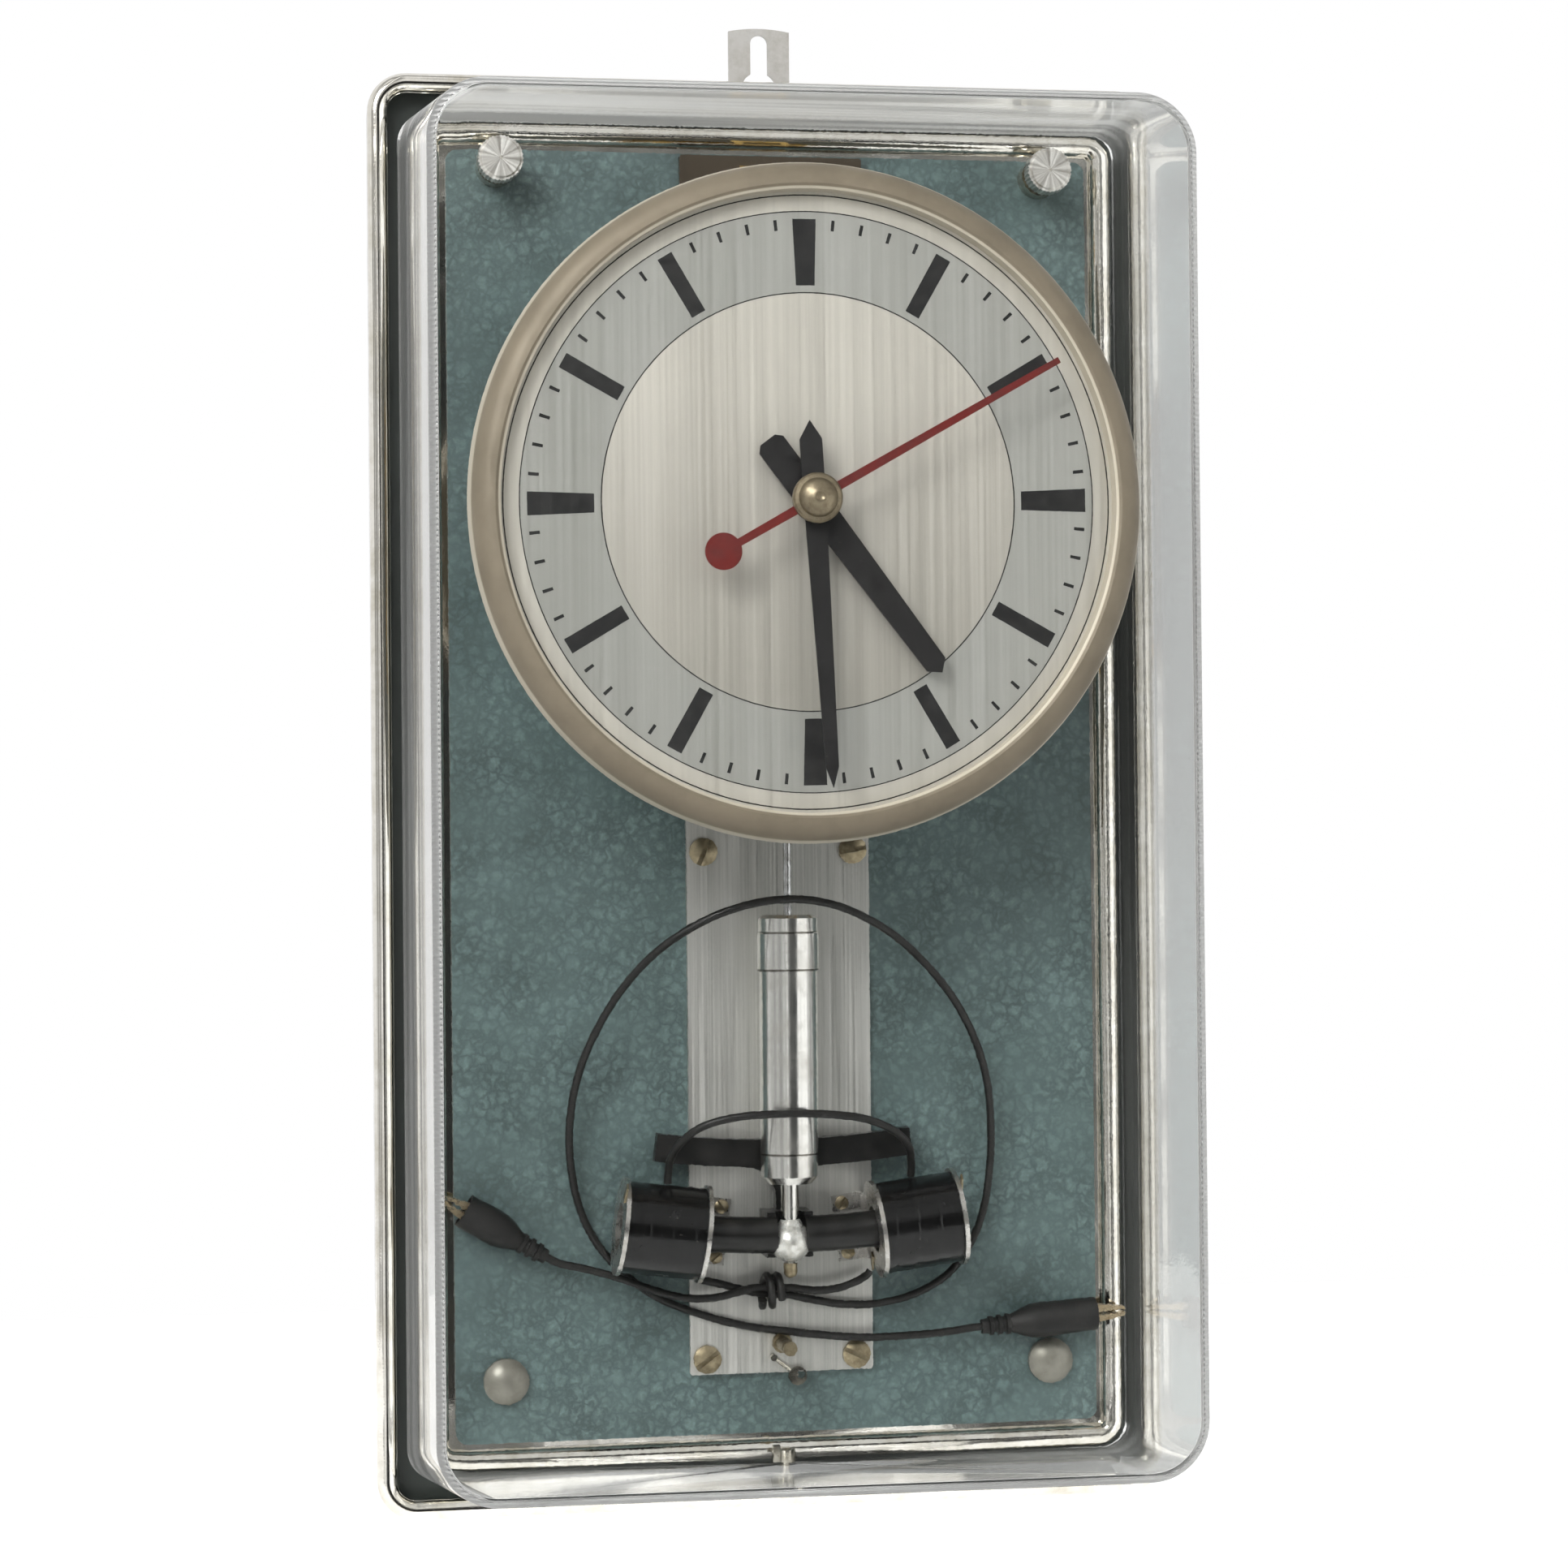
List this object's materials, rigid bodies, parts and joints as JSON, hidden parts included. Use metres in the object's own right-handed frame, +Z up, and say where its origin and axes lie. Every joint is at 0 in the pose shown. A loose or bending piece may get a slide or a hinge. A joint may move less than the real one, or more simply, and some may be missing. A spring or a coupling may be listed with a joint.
{
  "type": "electric wall clock",
  "caption": "Wall clock in a steel case with a clear cover: round dial, open movement, and a long pendulum whose curved magnet swings through a pair of coils.",
  "frame": {"origin": "seat of the keyhole's narrow end, in the plane of the wall", "axes": "+X to the right as the clock is read, +Y into the wall, +Z up"},
  "size_m": [0.224, 0.103, 0.4175],
  "materials": {
    "chrome_case": "polished, aged",
    "tab_steel": "dull zinc",
    "pad_rubber": "matt",
    "panel_paint": "hammered grey-green",
    "clear_cover": "clear moulded plastic",
    "chrome_small": "polished",
    "plate_aluminium": "brushed along its length",
    "aged_brass": "aged",
    "movement_brass": "satin",
    "movement_steel": "polished",
    "dial_paint": "satin, brushed middle",
    "bezel_metal": "satin champagne",
    "hand_black": "satin black paint",
    "hand_red": "satin red paint",
    "hub_brass": "turned",
    "yoke_black": "gloss enamel",
    "bobbin_metal": "satin",
    "winding_black": "lacquered tape",
    "lead_black": "worn",
    "boot_black": "worn",
    "jaw_metal": "tarnished nickel"
  },
  "bodies": {
    "case": {"back_tray": "chrome_case", "hanger_tab": "tab_steel", "wall_pads": "pad_rubber", "bead_frame": "chrome_case", "back_panel": "panel_paint", "catch_bracket": "chrome_small", "upper_posts": "chrome_small", "lower_buttons": "chrome_small", "base_plate": "plate_aluminium", "plate_screws": "aged_brass", "suspension_bracket": "movement_brass", "pillars": "movement_brass", "rear_plate": "movement_brass", "front_plate": "movement_brass", "movement_screws": "movement_steel", "motion_stud": "movement_steel", "click_spring": "movement_steel", "dial_feet": "movement_brass", "dial": "dial_paint", "bezel": "bezel_metal", "coil_bobbins": "bobbin_metal", "coil_windings": "winding_black", "coil_lugs": "bobbin_metal", "lug_screws": "aged_brass", "solder_tags": "aged_brass", "transport_post": "aged_brass", "long_lead": "lead_black", "short_lead": "lead_black", "link_lead": "lead_black", "lead_knot": "lead_black", "clip_boots": "boot_black", "clip_fixed_jaws": "jaw_metal"},
    "cover": {"cover": "clear_cover"},
    "catch": {"catch_screw": "chrome_small"},
    "nut_left": {"thumb_nut_left": "chrome_small"},
    "nut_right": {"thumb_nut_right": "chrome_small"},
    "seconds": {"seconds_arbor": "movement_steel", "count_wheel": "movement_brass", "second_hand": "hand_red", "hub_cap": "hub_brass"},
    "third": {"third_wheel": "movement_brass"},
    "minute": {"centre_wheel": "movement_brass", "cannon_pinion": "movement_steel", "minute_hand": "hand_black"},
    "motion": {"motion_wheel": "movement_brass"},
    "hour": {"hour_wheel": "movement_brass", "hour_hand": "hand_black"},
    "pendulum": {"pendulum_rod": "chrome_small", "suspension_spring": "movement_steel", "drive_pawl": "movement_brass", "bob_cap": "chrome_small", "bob_tube": "chrome_small", "bob_cup": "chrome_small", "return_yoke": "yoke_black", "bar_magnet": "yoke_black", "magnet_ball": "chrome_small"},
    "rating": {"rating_nut": "aged_brass"},
    "hook": {"transport_hook": "chrome_small"},
    "jaw_left": {"clip_jaw_left": "jaw_metal"},
    "jaw_right": {"clip_jaw_right": "jaw_metal"}
  },
  "joints": [
    {"name": "cover_pull", "type": "slide", "parent": "case", "child": "cover", "axis": [0, -1, 0], "range_m": [0, 0.11]},
    {"name": "catch_turn", "type": "hinge", "parent": "case", "child": "catch", "pos_m": [0, -0.023, -0.4042], "axis": [0, 0, 1], "range_deg": [0, 180]},
    {"name": "nut_left_turn", "type": "hinge", "parent": "case", "child": "nut_left", "pos_m": [-0.077, -0.029, -0.0397], "axis": [0, -1, 0], "continuous": true},
    {"name": "nut_right_turn", "type": "hinge", "parent": "case", "child": "nut_right", "pos_m": [0.077, -0.029, -0.0397], "axis": [0, -1, 0], "continuous": true},
    {"name": "seconds_turn", "type": "hinge", "parent": "case", "child": "seconds", "pos_m": [0, -0.06, -0.1372], "axis": [0, 1, 0], "continuous": true},
    {"name": "third_turn", "type": "hinge", "parent": "case", "child": "third", "pos_m": [0, -0.045, -0.1202], "axis": [0, 1, 0], "continuous": true},
    {"name": "minute_turn", "type": "hinge", "parent": "case", "child": "minute", "pos_m": [0, -0.06, -0.1372], "axis": [0, 1, 0], "continuous": true},
    {"name": "motion_turn", "type": "hinge", "parent": "case", "child": "motion", "pos_m": [0, -0.064, -0.1492], "axis": [0, 1, 0], "continuous": true},
    {"name": "hour_turn", "type": "hinge", "parent": "case", "child": "hour", "pos_m": [0, -0.06, -0.1372], "axis": [0, 1, 0], "continuous": true},
    {"name": "pendulum_swing", "type": "hinge", "parent": "case", "child": "pendulum", "pos_m": [0, -0.033, -0.0532], "axis": [0, -1, 0], "range_deg": [-2.3, 2.3]},
    {"name": "rating_turn", "type": "hinge", "parent": "pendulum", "child": "rating", "pos_m": [0, -0.033, -0.3452], "axis": [0, 0, 1], "continuous": true},
    {"name": "hook_swing", "type": "hinge", "parent": "case", "child": "hook", "pos_m": [-0.0026, -0.0185, -0.3706], "axis": [0, -1, 0], "range_deg": [-50, 38]},
    {"name": "jaw_left_open", "type": "hinge", "parent": "case", "child": "jaw_left", "pos_m": [-0.08601, -0.022, -0.32835], "axis": [0, -1, 0], "range_deg": [0, 12], "stiffness_Nm_per_rad": 0.02, "springref_deg": -11.46},
    {"name": "jaw_right_open", "type": "hinge", "parent": "case", "child": "jaw_right", "pos_m": [0.08591, -0.022, -0.36145], "axis": [0, -1, 0], "range_deg": [0, 12], "stiffness_Nm_per_rad": 0.02, "springref_deg": -11.46}
  ],
  "couplings": [
    {"joint": "third_turn", "follows": "seconds_turn", "ratio": -0.13333},
    {"joint": "minute_turn", "follows": "seconds_turn", "ratio": 0.016667},
    {"joint": "motion_turn", "follows": "seconds_turn", "ratio": -0.0055556},
    {"joint": "hour_turn", "follows": "seconds_turn", "ratio": 0.0013889}
  ]
}
